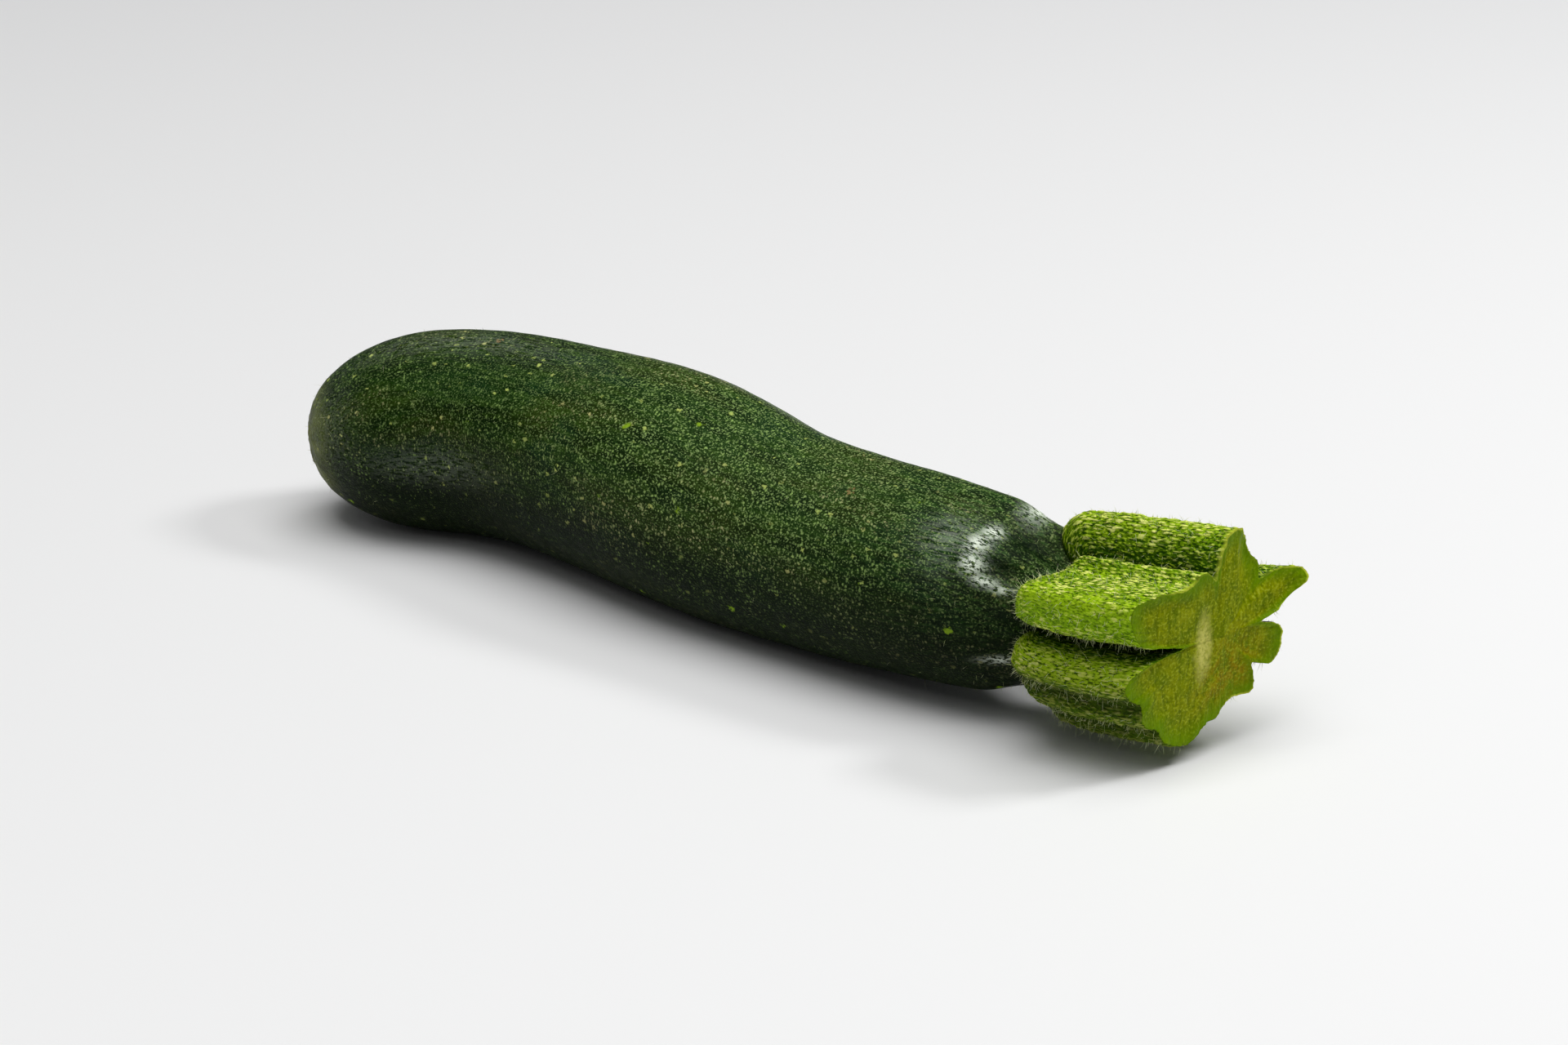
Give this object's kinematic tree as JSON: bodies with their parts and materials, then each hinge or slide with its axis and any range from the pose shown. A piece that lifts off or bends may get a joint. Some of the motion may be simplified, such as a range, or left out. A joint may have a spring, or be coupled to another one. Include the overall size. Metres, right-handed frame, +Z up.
{
  "type": "courgette",
  "caption": "Whole dark green courgette lying on its side, slightly bent, with its short ribbed stem cut across.",
  "frame": {"origin": "on the surface it lies on, under the middle of its bounding box", "axes": "+X along the courgette from the blossom end to the cut stem, +Z up"},
  "size_m": [0.2036, 0.0568, 0.0414],
  "materials": {
    "skin": "waxy, satin",
    "stem": "rough, hairy"
  },
  "bodies": {
    "root": {"fruit": "skin", "stem": "stem"}
  },
  "joints": []
}
